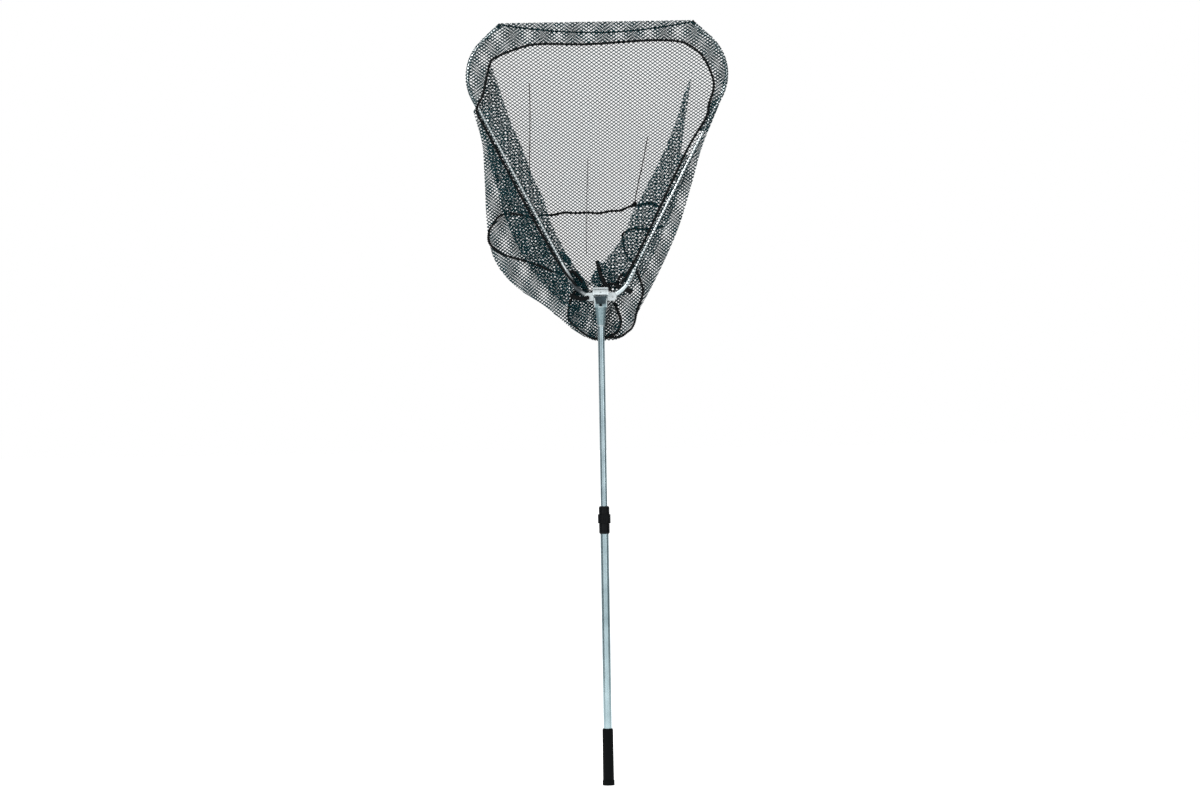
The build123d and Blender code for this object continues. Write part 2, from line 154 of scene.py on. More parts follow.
def flag(name, side):
    """A grey card beside the net: its reflection draws a darker line near a tube's edge, as in a
    studio, which makes bright metal look round. Only reflections see it."""
    mesh = bpy.data.meshes.new(name)
    corners = [(side * FLAG_OUT, y, z) for y, z in (
        (FLAG_NEAR, FLAG_LOW), (FLAG_FAR, FLAG_LOW), (FLAG_FAR, FLAG_HIGH), (FLAG_NEAR, FLAG_HIGH))]
    mesh.from_pydata(corners, [], [(0, 1, 2, 3)])
    card = bpy.data.objects.new(name, mesh)
    bpy.context.scene.collection.objects.link(card)
    material = bpy.data.materials.new(name + " card")
    material.use_nodes = True
    material.node_tree.nodes.clear()
    paint = add(material.node_tree, "ShaderNodeBsdfDiffuse", Color=linear("848C8E"))
    add(material.node_tree, "ShaderNodeOutputMaterial", Surface=paint.outputs[0])
    mesh.materials.append(material)
    card.visible_camera = card.visible_diffuse = False
    card.visible_shadow = card.visible_transmission = False


make_camera()
make_world()
make_floor()
flag("left flag", -1)
flag("right flag", 1)
softbox("key", (-2.6, -3.4, 3.1), (0, 0, 1.0), (1.6, 2.2), 130)
softbox("fill", (3.2, -3.0, 1.6), (0, 0, 1.0), (2.0, 2.4), 26)
softbox("back", (-1.0, 3.0, 3.0), (0, 0, 1.1), (2.0, 2.0), 50)
bpy.context.scene.view_settings.view_transform = "Standard"


# ---------------------------------------------------------------- materials
def new_material(name):
    """A material with its tree, its Principled shader and its object coordinates."""
    material = bpy.data.materials.new(name)
    material.use_nodes = True
    tree = material.node_tree
    tree.nodes.clear()
    shader = add(tree, "ShaderNodeBsdfPrincipled")
    add(tree, "ShaderNodeOutputMaterial", Surface=shader.outputs[0])
    coords = add(tree, "ShaderNodeTexCoord")
    return material, tree, shader, coords.outputs["Object"]


def noise(tree, vector, size_mm, detail=3.0, stretch=(1, 1, 1)):
    """Noise whose blotches are about size_mm across, drawn out along the small stretch axes."""
    mapping = add(tree, "ShaderNodeMapping", Vector=vector, Scale=stretch)
    return add(tree, "ShaderNodeTexNoise", Vector=mapping.outputs[0],
               Scale=1000.0 / size_mm, Detail=detail).outputs["Fac"]


def ramp(tree, factor, low, high, dark, light):
    """Colour from dark to light as factor goes from low to high."""
    node = add(tree, "ShaderNodeValToRGB", in_0=factor)
    node.color_ramp.elements[0].position = low
    node.color_ramp.elements[1].position = high
    node.color_ramp.elements[0].color = dark if len(dark) == 4 else linear(dark)
    node.color_ramp.elements[1].color = light if len(light) == 4 else linear(light)
    return node.outputs[0]


def spread(tree, factor, low, high, start, end):
    """A number from start to end as factor goes from low to high."""
    return add(tree, "ShaderNodeMapRange", in_0=factor, in_1=low, in_2=high,
               in_3=start, in_4=end).outputs[0]


def bump(tree, height, depth_mm):
    """A bump of that depth for the shader's normal."""
    node = add(tree, "ShaderNodeBump", Height=height, Distance=depth_mm * MM, Strength=1.0)
    return node.outputs[0]


def anodised_aluminium(name, dark, light, roughness):
    """Drawn tube, bright anodised: a cool satin metal with faint lines along its length."""
    material, tree, shader, place = new_material(name)
    draw_lines = noise(tree, place, 0.9, 4.0, (1, 1, 0.02))
    blotch = noise(tree, place, 60, 2.0)
    tree.links.new(ramp(tree, blotch, 0.3, 0.7, dark, light), shader.inputs["Base Color"])
    tree.links.new(spread(tree, draw_lines, 0.3, 0.7, roughness - 0.03, roughness + 0.06),
                   shader.inputs["Roughness"])
    tree.links.new(bump(tree, draw_lines, 0.004), shader.inputs["Normal"])
    shader.inputs["Metallic"].default_value = 0.8
    return material


def die_cast(name, dark, light, roughness, metallic):
    """Die-cast alloy under thin lacquer: a slightly uneven skin that rubs pale at the edges."""
    material, tree, shader, place = new_material(name)
    skin = noise(tree, place, 4.0, 4.0)
    grain = noise(tree, place, 0.6, 2.0)
    edges = add(tree, "ShaderNodeNewGeometry").outputs["Pointiness"]
    worn = ramp(tree, edges, 0.52, 0.60, (0, 0, 0, 1), (1, 1, 1, 1))
    body = ramp(tree, skin, 0.3, 0.7, dark, light)
    colour = add(tree, "ShaderNodeMix", {"data_type": "RGBA"}, in_0=worn, in_6=body,
                 in_7=linear("C4CCCE"))
    tree.links.new(colour.outputs[2], shader.inputs["Base Color"])
    tree.links.new(spread(tree, grain, 0.3, 0.7, roughness - 0.05, roughness + 0.1),
                   shader.inputs["Roughness"])
    tree.links.new(bump(tree, grain, 0.03), shader.inputs["Normal"])
    shader.inputs["Metallic"].default_value = metallic
    return material


def moulded_nylon(name, dark, light, roughness=0.42):
    """Injection-moulded nylon: near-black with a fine spark-eroded grain and dusty high spots."""
    material, tree, shader, place = new_material(name)
    grain = noise(tree, place, 0.7, 3.0)
    dust = noise(tree, place, 14.0, 3.0)
    tree.links.new(ramp(tree, dust, 0.35, 0.75, dark, light), shader.inputs["Base Color"])
    tree.links.new(spread(tree, dust, 0.3, 0.7, roughness - 0.06, roughness + 0.1),
                   shader.inputs["Roughness"])
    tree.links.new(bump(tree, grain, 0.05), shader.inputs["Normal"])
    shader.inputs["Specular IOR Level"].default_value = 0.1
    return material


def moulded_rubber(name):
    """Grip rubber: deep matt black with a pebbled skin and a chalky bloom from handling."""
    material, tree, shader, place = new_material(name)
    bloom = noise(tree, place, 22.0, 4.0)
    pebble = add(tree, "ShaderNodeTexVoronoi", Vector=place, Scale=1000.0 / 1.5)
    tree.links.new(ramp(tree, bloom, 0.35, 0.8, "040607", "0B0F10"), shader.inputs["Base Color"])
    tree.links.new(spread(tree, bloom, 0.3, 0.7, 0.58, 0.78), shader.inputs["Roughness"])
    tree.links.new(bump(tree, pebble.outputs["Distance"], 0.12), shader.inputs["Normal"])
    shader.inputs["Specular IOR Level"].default_value = 0.08
    return material


def plated_steel(name):
    """Turned steel under zinc plate: pale grey with fine rings from the lathe."""
    material, tree, shader, place = new_material(name)
    turned = noise(tree, place, 0.4, 2.0)
    tree.links.new(ramp(tree, turned, 0.3, 0.7, "8E9496", "B9BFC1"), shader.inputs["Base Color"])
    tree.links.new(spread(tree, turned, 0.3, 0.7, 0.25, 0.4), shader.inputs["Roughness"])
    shader.inputs["Metallic"].default_value = 0.9
    return material


def netting_twine(name, dark, light):
    """Dyed polyester twine: blue-black, a little paler where the fibres catch the light."""
    material, tree, shader, place = new_material(name)
    fade = noise(tree, place, 35.0, 3.0)
    tree.links.new(ramp(tree, fade, 0.3, 0.75, dark, light), shader.inputs["Base Color"])
    tree.links.new(spread(tree, fade, 0.3, 0.7, 0.5, 0.68), shader.inputs["Roughness"])
    shader.inputs["Specular IOR Level"].default_value = 0.12
    return material


def lashing_cord(name):
    """Braided polypropylene cord: dense black, with the braid as paired slanting ribs."""
    material, tree, shader, place = new_material(name)
    uv = add(tree, "ShaderNodeTexCoord").outputs["UV"]
    strand = add(tree, "ShaderNodeTexWave", {"wave_type": "BANDS", "bands_direction": "DIAGONAL"},
                 Vector=uv, Scale=1.0, Distortion=1.2)
    fade = noise(tree, place, 18.0, 3.0)
    tree.links.new(ramp(tree, fade, 0.3, 0.75, "020304", "0A0E10"), shader.inputs["Base Color"])
    tree.links.new(spread(tree, fade, 0.3, 0.7, 0.55, 0.75), shader.inputs["Roughness"])
    tree.links.new(bump(tree, strand.outputs["Fac"], 0.25), shader.inputs["Normal"])
    shader.inputs["Specular IOR Level"].default_value = 0.12
    return material


UPPER_TUBE = anodised_aluminium("bright anodised tube, upper", "8A9DA4", "AEC1C7", 0.2)
LOWER_TUBE = anodised_aluminium("bright anodised tube, lower", "84999F", "AABEC3", 0.2)
# The rods' near-white colour is partly pale metal and partly a painted highlight: the bright line
# that light draws along a round rod.
ARM_TUBE = anodised_aluminium("pale anodised rod with painted highlight", "C4CED0", "ECF2F3", 0.2)
CAST = die_cast("blue-grey lacquered die casting", "6F868C", "8FA5AA", 0.38, 0.45)
# On the right arm's socket this pale alloy is painted light, not the part's own colour.
PALE_CAST = die_cast("tumbled pale alloy", "A9B6B9", "CBD5D7", 0.32, 0.7)
DARK_CAST = die_cast("dark grey lacquered alloy", "1D2428", "333D42", 0.45, 0.0)
NYLON = moulded_nylon("black moulded nylon", "040608", "0C1012")
BUTTON_NYLON = moulded_nylon("slate moulded nylon", "2B363B", "46545A", 0.36)
BUSH_NYLON = moulded_nylon("natural moulded nylon", "C9C9C2", "E4E4DE", 0.45)
RUBBER = moulded_rubber("pebbled grip rubber")
STEEL = plated_steel("zinc plated steel")
TWINE = netting_twine("black polyester netting twine", "072A2F", "174249")
CORD = lashing_cord("black braided lashing cord")

FINISHES = {
    "lower_tube": LOWER_TUBE, "upper_tube": UPPER_TUBE, "butt_cap": RUBBER, "grip": RUBBER,
    "lock_housing": NYLON, "lock_collar": NYLON, "collet": BUSH_NYLON, "slide_bush": BUSH_NYLON,
    "yoke_neck": CAST, "hinge_knuckle": PALE_CAST, "head_block": PALE_CAST,
    "knuckle_screw": STEEL, "hinge_pin": STEEL, "tube_rivet": STEEL, "button_spring": STEEL,
    "arm_pivot_pins": STEEL, "lock_button": BUTTON_NYLON,
    # The arm sockets are mirror twins. The right one's pale alloy is painted light, where light
    # falls on it, and the left one is dark grey.
    "left_arm_socket": DARK_CAST, "right_arm_socket": PALE_CAST,
    "left_arm_rod": ARM_TUBE, "right_arm_rod": ARM_TUBE,
    "left_tip_cap": NYLON, "right_tip_cap": NYLON,
}
for node, finish in FINISHES.items():
    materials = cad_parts[node].data.materials
    materials.clear()
    materials.append(finish)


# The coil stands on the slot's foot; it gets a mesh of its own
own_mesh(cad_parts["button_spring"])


# ---------------------------------------------------------------- plan curves
def smooth(points, closed=False, steps=12):
    """A Catmull-Rom curve through points: on each span a cubic whose end slopes are half the
    chord between the neighbours, sampled steps times."""
    p = np.asarray(points, float)
    if closed:
        p = np.concatenate([p[-1:], p, p[:2]])
    else:
        p = np.concatenate([2 * p[:1] - p[1:2], p, 2 * p[-1:] - p[-2:-1]])
    t = np.linspace(0, 1, steps, endpoint=False)[None, :, None]
    a, b, c, d = (p[i:len(p) - 3 + i, None, :] for i in range(4))
    curve = 0.5 * (2 * b + (c - a) * t + (2 * a - 5 * b + 4 * c - d) * t ** 2
                   + (3 * b - a - 3 * c + d) * t ** 3)
    curve = curve.reshape(-1, p.shape[1])
    return curve if closed else np.concatenate([curve, p[-2:-1]])


def rounded(points, radii, steps=24):
    """A route of straight runs whose corners are arcs of the given radii, as (x, z) points."""
    p = [np.asarray(q, float) for q in points]
    out = [p[0]]
    for before, corner, after, radius in zip(p, p[1:], p[2:], radii):
        u, v = (before - corner), (after - corner)
        u, v = u / np.linalg.norm(u), v / np.linalg.norm(v)
        half = np.arccos(np.clip(u @ v, -1, 1)) / 2
        centre = corner + (u + v) / np.linalg.norm(u + v) * radius / np.sin(half)
        first, last = corner + u * radius / np.tan(half), corner + v * radius / np.tan(half)
        a, b = first - centre, last - centre
        start = np.arctan2(a[1], a[0])
        turn = np.arctan2(a[0] * b[1] - a[1] * b[0], a @ b)
        angle = start + turn * np.linspace(0, 1, steps)
        out += list(centre + radius * np.stack([np.cos(angle), np.sin(angle)], 1))
    return np.array(out + [p[-1]])


def resample(curve, step):
    """The same curve with points step apart."""
    run = np.concatenate([[0], np.cumsum(np.linalg.norm(np.diff(curve, axis=0), axis=1))])
    at = np.linspace(0, run[-1], max(2, int(round(run[-1] / step)) + 1))
    return np.stack([np.interp(at, run, curve[:, k]) for k in range(curve.shape[1])], 1)


def beside(curve, gap):
    """The plan curve moved sideways by gap, to the left of its direction."""
    d = np.gradient(curve, axis=0)
    d /= np.linalg.norm(d, axis=1)[:, None]
    return curve + gap * np.stack([-d[:, 1], d[:, 0]], 1)


def step_up(value):
    """0 below 0, 1 above 1 and an S between: 3v^2 - 2v^3."""
    v = np.clip(value, 0, 1)
    return v * v * (3 - 2 * v)


def inside(points, outline):
    """True for each plan point that an even-odd crossing test finds within the outline."""
    x, z = points[:, 0], points[:, 1]
    found = np.zeros(len(points), bool)
    for (x1, z1), (x2, z2) in zip(outline, np.roll(outline, -1, 0)):
        if z1 != z2:
            crosses = (z1 > z) != (z2 > z)
            found ^= crosses & (x < (x2 - x1) * (z - z1) / (z2 - z1) + x1)
    return found


def distance(points, curve, closed=False):
    """How far each plan point is from the nearest run of the curve."""
    ends = np.roll(curve, -1, 0) if closed else curve[1:]
    starts = curve if closed else curve[:-1]
    best = np.full(len(points), 1e9)
    for a, b in zip(starts, ends):
        ab = b - a
        t = np.clip(((points - a) @ ab) / max(ab @ ab, 1e-9), 0, 1)
        best = np.minimum(best, np.linalg.norm(points - a - t[:, None] * ab, axis=1))
    return best


# The arms' line from pivot to tip, as in the frame, and the same line on the left
ELBOW_R, SHOULDER_R, ARM_STEP = 60, 113, 4.0
ARM = resample(rounded([(28, 1150), (59, 1171.2), (331.2, 1695.9), (226, 1794)],
                       [ELBOW_R, SHOULDER_R]), ARM_STEP)
MIRROR = np.array([-1.0, 1.0])
LEFT_ARM = ARM * MIRROR
HEM_EDGE = 4.6  # the hem's outer fold, outside the rod's centre line
CROWN_LOW = 1600
RIGHT_CROWN = beside(ARM[ARM[:, 1] > CROWN_LOW], -HEM_EDGE)
LEFT_CROWN = RIGHT_CROWN * MIRROR

# The bag's outline below the arms' bends, left side downwards, round the bottom and up the right
SKIRT = smooth([
    (-292, 1590), (-273, 1515), (-269, 1430), (-265, 1322), (-250, 1245), (-205, 1183),
    (-130, 1129), (-73, 1080), (-28, 1052), (8, 1047), (56, 1060), (96, 1128), (141, 1211),
    (186, 1310), (220, 1416), (245, 1500), (285, 1595),
], steps=8)
OUTLINE = np.concatenate([LEFT_CROWN[::-1], SKIRT, RIGHT_CROWN])
MOUTH = np.concatenate([LEFT_ARM, ARM[::-1]])

# The hem's inner seam: across the top, round the corners and down beside the rods to the yoke
HEM_SEAM = smooth([
    (-52, 1172), (-88, 1216), (-146, 1318), (-206, 1434), (-262, 1545), (-284, 1592), (-270, 1626),
    (-262, 1658), (-251, 1702), (-238, 1716), (-196, 1733), (-141, 1746), (-26, 1744), (60, 1748),
    (131, 1751), (190, 1748), (222, 1736), (250, 1710), (270, 1668), (274, 1637), (262, 1598),
    (254, 1566), (206, 1486), (118, 1306), (72, 1216), (48, 1178),
], steps=10)

# The inner folds of the bag's sides, seen through the mouth
LEFT_FOLD = smooth([
    (-249, 1702), (-231, 1646), (-206, 1568), (-181, 1510), (-156, 1438), (-131, 1385),
    (-118, 1338), (-92, 1279), (-70, 1237), (-43, 1200), (-24, 1184),
], steps=6)
RIGHT_FOLD = smooth([
    (232, 1722), (223, 1672), (205, 1625), (181, 1552), (149, 1479), (121, 1425), (94, 1374),
    (76, 1343), (58, 1296), (22, 1249), (-17, 1207), (-22, 1184),
], steps=6)


# ---------------------------------------------------------------- depth of the bag's sheets
AT_RODS, OUT_FOLD, FOLD_REACH = 4, 28, 70  # depth at the rods, away from them, and how far away
YOKE_BACK = 20
BELLY, BELLY_REACH = 54, 120  # how much deeper the back panel is, and how far in from its outline
HEM_HALF, HEM_LIP = 4.5, 0.9


def rod_gap(p):
    """How far each plan point is from the nearer arm."""
    return np.minimum(distance(p, ARM), distance(p, LEFT_ARM))


def behind_yoke(p, depth):
    """That depth, but easing to at least 20 mm where the net passes behind the yoke: within 44 mm
    of the middle and below 1186 mm in full, nothing beyond 72 mm or above 1222 mm."""
    share = step_up((72 - np.abs(p[:, 0])) / 28) * step_up((1222 - p[:, 1]) / 36)
    return depth + np.maximum(YOKE_BACK - depth, 0) * share


def edge_depth(p):
    """Depth of the outer fold: 4 mm at the rods, easing to 28 mm from 70 mm away, and no less
    than 20 mm where it passes behind the yoke."""
    return behind_yoke(p, AT_RODS + (OUT_FOLD - AT_RODS) * step_up(rod_gap(p) / FOLD_REACH))


def drape(p, size):
    """Slow upright folds of that size: two sines across the width that drift with height."""
    x, z = p[:, 0], p[:, 1]
    return size * (np.sin(x / 19 + 1.6 * np.sin(z / 83)) + 0.6 * np.sin(x / 8.3 - z / 57))


def back_depth(p):
    """The back panel: the fold's depth plus 54 mm easing in from the outline, and forward again
    to 3 mm at the hem's seam over the top 200 mm."""
    inward = step_up(distance(p, OUTLINE, True) / BELLY_REACH)
    hang = step_up((1748 - p[:, 1]) / 200)
    return 3 + (edge_depth(p) - 3 + BELLY * inward) * hang + drape(p, 2.2) * inward * hang


def front_depth(p):
    """The front panel outside the rods: the fold's depth with a slight drape."""
    return edge_depth(p) + drape(p, 1.2) * step_up(distance(p, ARM) / 40) * step_up(
        distance(p, LEFT_ARM) / 40)


def pleat_depth(share):
    """The depth of a side pleat: from 4 mm at the rods it eases, over 55 mm, to that share of the
    way to the back panel, short of it by 8 mm."""
    def depth(p):
        near, back = rod_gap(p), back_depth(p)
        set_back = (back - 8) * share * step_up((near + 6) / 55)
        return behind_yoke(p, AT_RODS + set_back + drape(p, 1.4))
    return depth


def hem_depth(sign):
    """Half of the hem's flat tunnel: 5.4 mm to that side of the rods, closing to 0.9 mm at both
    edges, with a slow ripple along the top."""
    def depth(p):
        edge = np.minimum(distance(p, OUTLINE, True), distance(p, HEM_SEAM))
        sag = 0.8 * np.sin(p[:, 0] / 13) * step_up((250 - np.abs(p[:, 0])) / 60)
        return sign * (HEM_LIP + (HEM_HALF + sag) * step_up(edge / HEM_HALF))
    return depth


# ---------------------------------------------------------------- netting
CELL_WIDE, CELL_HIGH = 11.6, 7.8  # one diamond of the mesh
TWINE_R = 0.93
KNOT = np.array([1.5, 1.05, 1.3])
BOX_MARGIN = 15
CUTS, SHORTEST = 8, 0.12  # halvings that find a border, and the least share of a bar that is kept


def make_mesh(name, points, faces, material, uv=None):
    """An object from vertex positions and face tables, each table with one corner count."""
    mesh = bpy.data.meshes.new(name)
    mesh.vertices.add(len(points))
    mesh.vertices.foreach_set("co", np.asarray(points, np.float32).ravel())
    corners = np.concatenate([f.ravel() for f in faces])
    counts = np.concatenate([np.full(len(f), f.shape[1]) for f in faces])
    mesh.loops.add(len(corners))
    mesh.loops.foreach_set("vertex_index", corners.astype(np.int32))
    mesh.polygons.add(len(counts))
    mesh.polygons.foreach_set("loop_start", (np.cumsum(counts) - counts).astype(np.int32))
    mesh.polygons.foreach_set("use_smooth", np.ones(len(counts), bool))
    if uv is not None:
        layer = mesh.uv_layers.new(name="along")
        layer.data.foreach_set("uv", uv[corners].astype(np.float32).ravel())
    mesh.update(calc_edges=True)
    mesh.materials.append(material)
    piece = bpy.data.objects.new(name, mesh)
    bpy.context.scene.collection.objects.link(piece)
    return piece


def diamonds(region, box, turn=0.0, cell=1.0, gather=None, phase=(0.0, 0.0)):
    """Knots and bars of a diamond mesh over a plan region.

    Knots stand on every second point of a grid of half cells, turned by turn and drawn in
    sideways by gather(z). A bar joins each knot to the two above it; one that leaves the region
    is cut where halving its length eight times finds the border.
    """
    x0, z0, x1, z1 = box
    wide, high = CELL_WIDE * cell / 2, CELL_HIGH * cell / 2
    reach = int(max(x1 - x0, z1 - z0) / min(wide, high)) + 4
    i, j = np.meshgrid(np.arange(-reach, reach), np.arange(-reach, reach), indexing="ij")
    even = (i + j) % 2 == 0
    i, j = i[even], j[even]
    middle = np.array([(x0 + x1) / 2, (z0 + z1) / 2])

    def plan(a, b):
        u, v = (a + phase[0]) * wide, (b + phase[1]) * high
        x = u * cos(turn) - v * sin(turn) + middle[0]
        z = u * sin(turn) + v * cos(turn) + middle[1]
        if gather is not None:
            x = x * gather(z)
        slack = 0.5 * np.sin(x / 31 + z / 47)
        return np.stack([x + slack, z + 0.6 * np.sin(x / 23 - z / 61)], 1)

    knots = plan(i, j)
    near = ((knots > np.array([x0, z0]) - BOX_MARGIN)
            & (knots < np.array([x1, z1]) + BOX_MARGIN)).all(1)
    i, j, knots = i[near], j[near], knots[near]
    held = region(knots)
    bars = []
    for side in (-1, 1):
        ends = plan(i + side, j + 1)
        ends_held = region(ends)
        whole = held & ends_held
        bars.append(np.stack([knots[whole], ends[whole]], 1))
        for start, stop in ((knots[held & ~ends_held], ends[held & ~ends_held]),
                            (ends[ends_held & ~held], knots[ends_held & ~held])):
            if len(start):
                kept, lost = np.zeros(len(start)), np.ones(len(start))
                for _ in range(CUTS):
                    middle_share = (kept + lost) / 2
                    ok = region(start + (stop - start) * middle_share[:, None])
                    kept = np.where(ok, middle_share, kept)
                    lost = np.where(ok, lost, middle_share)
                cut = start + (stop - start) * kept[:, None]
                long = kept > SHORTEST
                bars.append(np.stack([start[long], cut[long]], 1))
    return knots[held], np.concatenate(bars)


def place_in_space(plan, depth):
    """Plan points in millimetres as points in space in metres, at the depth the sheet has."""
    flat = plan.reshape(-1, 2)
    y = depth(flat)
    return np.stack([flat[:, 0], y, flat[:, 1]], 1).reshape(plan.shape[:-1] + (3,)) * MM


def bar_mesh(ends, radius):
    """Square prisms along the bars: four corners round each end, square to the bar, with caps."""
    along = ends[:, 1] - ends[:, 0]
    along /= np.linalg.norm(along, axis=1)[:, None] + 1e-12
    side = np.cross(along, np.array([0.0, 1.0, 0.0]))
    side /= np.linalg.norm(side, axis=1)[:, None] + 1e-12
    up = np.cross(side, along)
    ring = np.stack([side, up, -side, -up], 1) * radius
    points = (ends[:, :, None, :] + ring[:, None, :, :]).reshape(-1, 3)
    base = np.arange(len(ends))[:, None] * 8
    walls = np.array([[k, (k + 1) % 4, (k + 1) % 4 + 4, k + 4] for k in range(4)])
    caps = np.array([[3, 2, 1, 0], [4, 5, 6, 7]])
    quads = np.concatenate([walls, caps])
    return points, (base[:, :, None] + quads[None]).reshape(-1, 4)


def knot_mesh(centres, size):
    """A small eight-sided bead on each knot, longest across the mesh."""
    tips = np.array([[1, 0, 0], [-1, 0, 0], [0, 1, 0], [0, -1, 0], [0, 0, 1], [0, 0, -1]], float)
    points = (centres[:, None, :] + tips * size * MM).reshape(-1, 3)
    sides = np.array([[0, 2, 4], [2, 1, 4], [1, 3, 4], [3, 0, 4],
                      [2, 0, 5], [1, 2, 5], [3, 1, 5], [0, 3, 5]])
    base = np.arange(len(centres))[:, None, None] * 6
    return points, (base + sides[None]).reshape(-1, 3)


def netting(name, sheets):
    """One piece of netting from sheets, each (region, box, depth, mesh settings)."""
    points, quads, tris, count = [], [], [], 0
    for region, box, depth, settings in sheets:
        knots, bars = diamonds(region, box, **settings)
        bar_points, bar_faces = bar_mesh(place_in_space(bars, depth), TWINE_R * MM)
        knot_points, knot_faces = knot_mesh(place_in_space(knots, depth), KNOT)
        quads.append(bar_faces + count)
        tris.append(knot_faces + count + len(bar_points))
        points += [bar_points, knot_points]
        count += len(bar_points) + len(knot_points)
    faces = [np.concatenate(quads), np.concatenate(tris)]
    return make_mesh(name, np.concatenate(points), faces, TWINE)


def gathered(z):
    """Share of its width that the netting keeps at height z: drawn in towards the yoke."""
    return 0.80 + 0.20 * np.clip((z - 1050) / 690, 0, 1)


def area(outline):
    """A region test for a closed outline."""
    return lambda p: inside(p, outline)


def span(outline):
    """The box round an outline, as x0, z0, x1, z1."""
    low, high = outline.min(0), outline.max(0)
    return low[0], low[1], high[0], high[1]


HEM_LOOP = np.concatenate([HEM_SEAM, [(0, 1150)]])


def in_back(p):
    """The back panel: within the outline, and inside the hem's seam above the arms' bends."""
    low = p[:, 1] < 1592 + 0.06 * p[:, 0]
    return inside(p, OUTLINE) & (low | inside(p, HEM_LOOP))


def in_front(p):
    """The front panel: within the outline, outside the arms, below the bends."""
    return inside(p, OUTLINE) & ~inside(p, MOUTH) & (p[:, 1] < 1640)


def in_hem(p):
    """The hem band between the outer fold and the seam, above the arms' bends."""
    return inside(p, OUTLINE) & ~inside(p, HEM_LOOP) & (p[:, 1] > 1560 - 0.1 * p[:, 0])


def between(curve, low, high):
    """The points of a plan curve between two heights."""
    return curve[(curve[:, 1] > low) & (curve[:, 1] < high)]


# The side pleats, the pockets that hang outside the rods, and the pocket below the yoke
LEFT_PLEAT = np.concatenate([
    LEFT_FOLD, [(-34, 1158)], between(LEFT_ARM, 1165, 1592),
    [(-284, 1594), (-270, 1626), (-262, 1658), (-251, 1700)]])
RIGHT_PLEAT = np.concatenate([
    RIGHT_FOLD, [(34, 1158)], between(ARM, 1165, 1480), [(194, 1484)]])
LEFT_POCKET = smooth([
    (-279, 1590), (-262, 1500), (-238, 1400), (-214, 1320), (-176, 1240), (-120, 1166),
    (-60, 1120), (-34, 1150), (-84, 1219), (-150, 1345), (-220, 1482),
], True, 6)
RIGHT_POCKET = smooth([
    (262, 1560), (222, 1470), (182, 1372), (140, 1276), (96, 1190), (52, 1150), (40, 1160),
    (88, 1226), (160, 1366), (214, 1470),
], True, 6)

BOTTOM_POCKET = smooth([
    (-58, 1166), (-75, 1127), (-76, 1100), (-58, 1079), (-28, 1059), (0, 1054), (24, 1062),
    (42, 1076), (46, 1098), (36, 1122), (30, 1142),
], True, 6)

# Net bunched up beside the yoke, above it, and tucked under the left rod
LEFT_BUNCH = smooth([
    (-76, 1208), (-62, 1214), (-44, 1200), (-30, 1172), (-26, 1158), (-44, 1160), (-62, 1184),
],
                    True, 6)
MIDDLE_BUNCH = smooth([
    (-24, 1176), (-14, 1206), (-2, 1232), (16, 1222), (34, 1204), (46, 1182), (20, 1170),
],
                      True, 6)
TUCK = smooth([
    (-98, 1252), (-88, 1258), (-74, 1246), (-66, 1232), (-72, 1226), (-84, 1234),
], True, 6)


def bunch_depth(middle):
    """Crumpled net round that depth: upright folds 18 mm apart and low ridges 26 mm apart."""
    return lambda p: (middle + 2.5 * np.sin(p[:, 0] / 2.9 + p[:, 1] / 7)
                      + 1.5 * np.sin(p[:, 1] / 4.1))


BAG_BOX = span(OUTLINE)
GATHER = {"gather": gathered}


def in_back_left(p):
    """The left half of the back panel."""
    return in_back(p) & (p[:, 0] <= 0)


def in_back_right(p):
    """The right half of the back panel."""
    return in_back(p) & (p[:, 0] > 0)


def soft(piece):
    """A piece of the bag: it rides on the head and has a mesh of its own."""
    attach(piece, "head")
    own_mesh(piece)
    return piece


back_left = netting("net_back_left", [(in_back_left, BAG_BOX, back_depth, GATHER)])
back_right = netting("net_back_right", [(in_back_right, BAG_BOX, back_depth, GATHER)])
front = netting("net_front", [(in_front, BAG_BOX, front_depth, {"gather": gathered, "turn": 0.09})])
hem = netting("net_hem", [
    (in_hem, BAG_BOX, hem_depth(-1), {"turn": 0.05}),
    (in_hem, BAG_BOX, hem_depth(1), {"turn": -0.06, "phase": (0.4, 0.7)}),
])
pleats = netting("net_pleats", [
    (area(LEFT_PLEAT), span(LEFT_PLEAT), pleat_depth(0.45), {"turn": 0.42, "cell": 1.12}),
    (area(LEFT_PLEAT), span(LEFT_PLEAT), pleat_depth(0.8), {"turn": -0.36, "cell": 1.15}),
    (area(RIGHT_PLEAT), span(RIGHT_PLEAT), pleat_depth(0.45), {"turn": -0.42, "cell": 1.18}),
    (area(RIGHT_PLEAT), span(RIGHT_PLEAT), pleat_depth(0.8), {"turn": 0.36, "cell": 1.2}),
    (area(LEFT_POCKET), span(LEFT_POCKET), pleat_depth(0.35), {"turn": -0.5, "cell": 1.15}),
    (area(LEFT_POCKET), span(LEFT_POCKET), pleat_depth(0.6), {"turn": 0.3, "cell": 1.2}),
    (area(BOTTOM_POCKET), span(BOTTOM_POCKET), pleat_depth(0.55), {"turn": 0.25}),
    (area(RIGHT_POCKET), span(RIGHT_POCKET), pleat_depth(0.35), {"turn": 0.5}),
])
for piece in (back_left, back_right, front, hem, pleats):
    soft(piece)
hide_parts("net_bag")
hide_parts("top_hem")


# ---------------------------------------------------------------- cords and seams
SEAM_R, SEAM_RIBS, SEAM_PITCH = 2.8, 0.6, 4.5
HEM_SEAM_DEPTH = -7.6
END_SHARE = 0.25  # of a cord's radius, at its two ends


